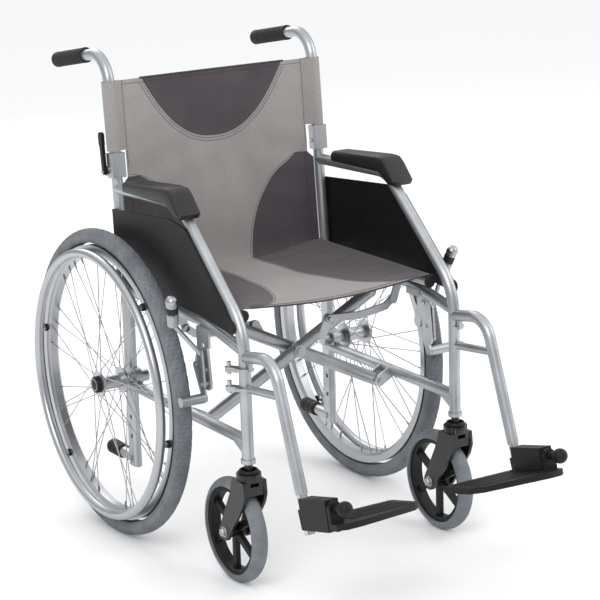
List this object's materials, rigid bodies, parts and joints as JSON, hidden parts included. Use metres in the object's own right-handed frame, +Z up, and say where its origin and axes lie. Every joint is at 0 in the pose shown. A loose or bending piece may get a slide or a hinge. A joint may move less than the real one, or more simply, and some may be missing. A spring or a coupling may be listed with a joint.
{
  "type": "manual wheelchair",
  "caption": "folding self-propelled wheelchair with sling seat and back, cross brace, spoked rear wheels with handrims, swivel casters, brakes and swing-away footrests",
  "frame": {"origin": "on the floor, at the centre of the overall box seen from above", "axes": "+X to the occupant's left, +Y to the chair's back, +Z up; the chair faces -Y"},
  "size_m": [0.652, 1.0694, 0.9456],
  "materials": {
    "silver_paint": "silver powder coat, satin",
    "black_plastic": "moulded black nylon, fine grain",
    "arm_pad": "moulded integral-skin foam, satin",
    "grip_rubber": "ribbed black rubber",
    "zinc_steel": "zinc plated steel",
    "seat_cloth": "woven nylon, light warm grey",
    "back_cloth": "woven nylon, light warm grey",
    "fork_black": "black powder coat",
    "grey_tyre": "non-marking grey tyre rubber",
    "rim_aluminium": "anodised aluminium",
    "spoke_steel": "stainless spoke wire",
    "chrome_tube": "chrome plated"
  },
  "bodies": {
    "frame_right": {"side_tube_right": "silver_paint", "side_rails_right": "silver_paint", "rear_post_right": "silver_paint", "skirt_guard_right": "black_plastic", "arm_pad_right": "arm_pad", "fold_bracket_right": "zinc_steel", "brake_bracket_right": "silver_paint", "rear_axle_right": "zinc_steel", "back_sling_lower_right": "back_cloth"},
    "back_upper_right": {"back_tube_right": "silver_paint", "push_grip_right": "grip_rubber", "back_sling_upper_right": "back_cloth"},
    "fold_lever_right": {"fold_lever_right": "black_plastic"},
    "stay_link_right": {"stay_link_right": "zinc_steel"},
    "brake_lever_right": {"brake_lever_right": "zinc_steel"},
    "brake_shoe_right": {"brake_shoe_right": "zinc_steel"},
    "caster_fork_right": {"caster_fork_right": "fork_black"},
    "caster_wheel_right": {"caster_hub_right": "black_plastic", "caster_tyre_right": "grey_tyre"},
    "rear_wheel_right": {"wheel_tyre_right": "grey_tyre", "wheel_rim_right": "rim_aluminium", "handrim_right": "rim_aluminium", "wheel_hub_right": "rim_aluminium", "wheel_spokes_right": "spoke_steel"},
    "leg_rest_right": {"leg_rest_tube_right": "silver_paint"},
    "footrest_right": {"extension_tube_right": "chrome_tube", "pivot_block_right": "black_plastic"},
    "footplate_right": {"footplate_right": "black_plastic"},
    "frame_left": {"side_tube_left": "silver_paint", "side_rails_left": "silver_paint", "rear_post_left": "silver_paint", "skirt_guard_left": "black_plastic", "arm_pad_left": "arm_pad", "fold_bracket_left": "zinc_steel", "brake_bracket_left": "silver_paint", "rear_axle_left": "zinc_steel", "back_sling_lower_left": "back_cloth"},
    "back_upper_left": {"back_tube_left": "silver_paint", "push_grip_left": "grip_rubber", "back_sling_upper_left": "back_cloth"},
    "fold_lever_left": {"fold_lever_left": "black_plastic"},
    "stay_link_left": {"stay_link_left": "zinc_steel"},
    "brake_lever_left": {"brake_lever_left": "zinc_steel"},
    "brake_shoe_left": {"brake_shoe_left": "zinc_steel"},
    "caster_fork_left": {"caster_fork_left": "fork_black"},
    "caster_wheel_left": {"caster_hub_left": "black_plastic", "caster_tyre_left": "grey_tyre"},
    "rear_wheel_left": {"wheel_tyre_left": "grey_tyre", "wheel_rim_left": "rim_aluminium", "handrim_left": "rim_aluminium", "wheel_hub_left": "rim_aluminium", "wheel_spokes_left": "spoke_steel"},
    "leg_rest_left": {"leg_rest_tube_left": "silver_paint"},
    "footrest_left": {"extension_tube_left": "chrome_tube", "pivot_block_left": "black_plastic"},
    "footplate_left": {"footplate_left": "black_plastic"},
    "brace_front": {"cross_brace_left": "silver_paint", "seat_sling_left": "seat_cloth"},
    "brace_rear": {"cross_brace_right": "silver_paint", "seat_sling_right": "seat_cloth"}
  },
  "joints": [
    {"name": "fold", "type": "hinge", "parent": "frame_right", "child": "brace_front", "pos_m": [-0.2, -0.00225, 0.27], "axis": [0, -1, 0], "range_deg": [0, 48], "deforming": ["seat_sling_right", "seat_sling_left", "back_sling_lower_right", "back_sling_lower_left", "back_sling_upper_right", "back_sling_upper_left"]},
    {"name": "cross_pivot", "type": "hinge", "parent": "brace_front", "child": "brace_rear", "pos_m": [0, 0.01075, 0.372], "axis": [0, -1, 0], "range_deg": [-96, 0]},
    {"name": "fold_left", "type": "hinge", "parent": "brace_rear", "child": "frame_left", "pos_m": [0.2, 0.02375, 0.27], "axis": [0, -1, 0], "range_deg": [0, 48]},
    {"name": "stay_link_right", "type": "hinge", "parent": "brace_rear", "child": "stay_link_right", "pos_m": [-0.068, 0.03925, 0.426], "axis": [0, -1, 0], "range_deg": [0, 117.1]},
    {"name": "stay_link_left", "type": "hinge", "parent": "brace_front", "child": "stay_link_left", "pos_m": [0.068, -0.01775, 0.426], "axis": [0, -1, 0], "range_deg": [-117.1, 0]},
    {"name": "back_fold_right", "type": "hinge", "parent": "frame_right", "child": "back_upper_right", "pos_m": [-0.232, 0.26656, 0.719], "axis": [-1, 0, 0], "range_deg": [0, 95], "deforming": ["back_sling_lower_right", "back_sling_lower_left", "back_sling_upper_right", "back_sling_upper_left"]},
    {"name": "fold_lever_right", "type": "hinge", "parent": "frame_right", "child": "fold_lever_right", "pos_m": [-0.232, 0.28005, 0.71192], "axis": [-1, 0, 0], "range_deg": [0, 20], "stiffness_Nm_per_rad": 0.3},
    {"name": "brake_right", "type": "hinge", "parent": "frame_right", "child": "brake_lever_right", "pos_m": [-0.252, -0.09325, 0.372], "axis": [1, 0, 0], "range_deg": [0, 38]},
    {"name": "brake_shoe_right", "type": "hinge", "parent": "frame_right", "child": "brake_shoe_right", "pos_m": [-0.252, -0.06025, 0.4], "axis": [1, 0, 0], "range_deg": [0, 5.3]},
    {"name": "caster_swivel_right", "type": "hinge", "parent": "frame_right", "child": "caster_fork_right", "pos_m": [-0.232, -0.20125, 0.24], "axis": [0, 0, 1], "continuous": true},
    {"name": "caster_axle_right", "type": "hinge", "parent": "caster_fork_right", "child": "caster_wheel_right", "pos_m": [-0.232, -0.14625, 0.1], "axis": [1, 0, 0], "continuous": true},
    {"name": "wheel_axle_right", "type": "hinge", "parent": "frame_right", "child": "rear_wheel_right", "pos_m": [-0.286, 0.22975, 0.305], "axis": [1, 0, 0], "continuous": true},
    {"name": "leg_rest_swing_right", "type": "hinge", "parent": "frame_right", "child": "leg_rest_right", "pos_m": [-0.252, -0.17925, 0.4], "axis": [0, 0, -1], "range_deg": [0, 90]},
    {"name": "footrest_length_right", "type": "slide", "parent": "leg_rest_right", "child": "footrest_right", "axis": [0, -0.342, -0.9397], "range_m": [0, 0.08]},
    {"name": "footplate_flip_right", "type": "hinge", "parent": "footrest_right", "child": "footplate_right", "pos_m": [-0.232, -0.44992, 0.23116], "axis": [0, -0.9703, 0.2419], "range_deg": [0, 90.1]},
    {"name": "back_fold_left", "type": "hinge", "parent": "frame_left", "child": "back_upper_left", "pos_m": [0.232, 0.26656, 0.719], "axis": [-1, 0, 0], "range_deg": [0, 95]},
    {"name": "fold_lever_left", "type": "hinge", "parent": "frame_left", "child": "fold_lever_left", "pos_m": [0.232, 0.28005, 0.71192], "axis": [-1, 0, 0], "range_deg": [0, 20], "stiffness_Nm_per_rad": 0.3},
    {"name": "brake_left", "type": "hinge", "parent": "frame_left", "child": "brake_lever_left", "pos_m": [0.252, -0.09325, 0.372], "axis": [1, 0, 0], "range_deg": [0, 38]},
    {"name": "brake_shoe_left", "type": "hinge", "parent": "frame_left", "child": "brake_shoe_left", "pos_m": [0.252, -0.06025, 0.4], "axis": [1, 0, 0], "range_deg": [0, 5.3]},
    {"name": "caster_swivel_left", "type": "hinge", "parent": "frame_left", "child": "caster_fork_left", "pos_m": [0.232, -0.20125, 0.24], "axis": [0, 0, 1], "continuous": true},
    {"name": "caster_axle_left", "type": "hinge", "parent": "caster_fork_left", "child": "caster_wheel_left", "pos_m": [0.232, -0.14625, 0.1], "axis": [1, 0, 0], "continuous": true},
    {"name": "wheel_axle_left", "type": "hinge", "parent": "frame_left", "child": "rear_wheel_left", "pos_m": [0.286, 0.22975, 0.305], "axis": [1, 0, 0], "continuous": true},
    {"name": "leg_rest_swing_left", "type": "hinge", "parent": "frame_left", "child": "leg_rest_left", "pos_m": [0.252, -0.17925, 0.4], "axis": [0, 0, 1], "range_deg": [0, 90]},
    {"name": "footrest_length_left", "type": "slide", "parent": "leg_rest_left", "child": "footrest_left", "axis": [0, -0.342, -0.9397], "range_m": [0, 0.08]},
    {"name": "footplate_flip_left", "type": "hinge", "parent": "footrest_left", "child": "footplate_left", "pos_m": [0.232, -0.44992, 0.23116], "axis": [0, 0.9703, -0.2419], "range_deg": [0, 90.1]}
  ],
  "couplings": [
    {"joint": "cross_pivot", "follows": "fold", "ratio": -2},
    {"joint": "fold_left", "follows": "fold", "ratio": 1},
    {"joint": "stay_link_left", "follows": "fold", "ratio": -2.4376},
    {"joint": "stay_link_right", "follows": "fold", "ratio": 2.4376},
    {"joint": "footplate_flip_left", "follows": "fold", "ratio": 1.875},
    {"joint": "footplate_flip_right", "follows": "fold", "ratio": 1.875},
    {"joint": "back_fold_left", "follows": "back_fold_right", "ratio": 1},
    {"joint": "brake_shoe_left", "follows": "brake_left", "ratio": 0.137},
    {"joint": "brake_shoe_right", "follows": "brake_right", "ratio": 0.137}
  ]
}
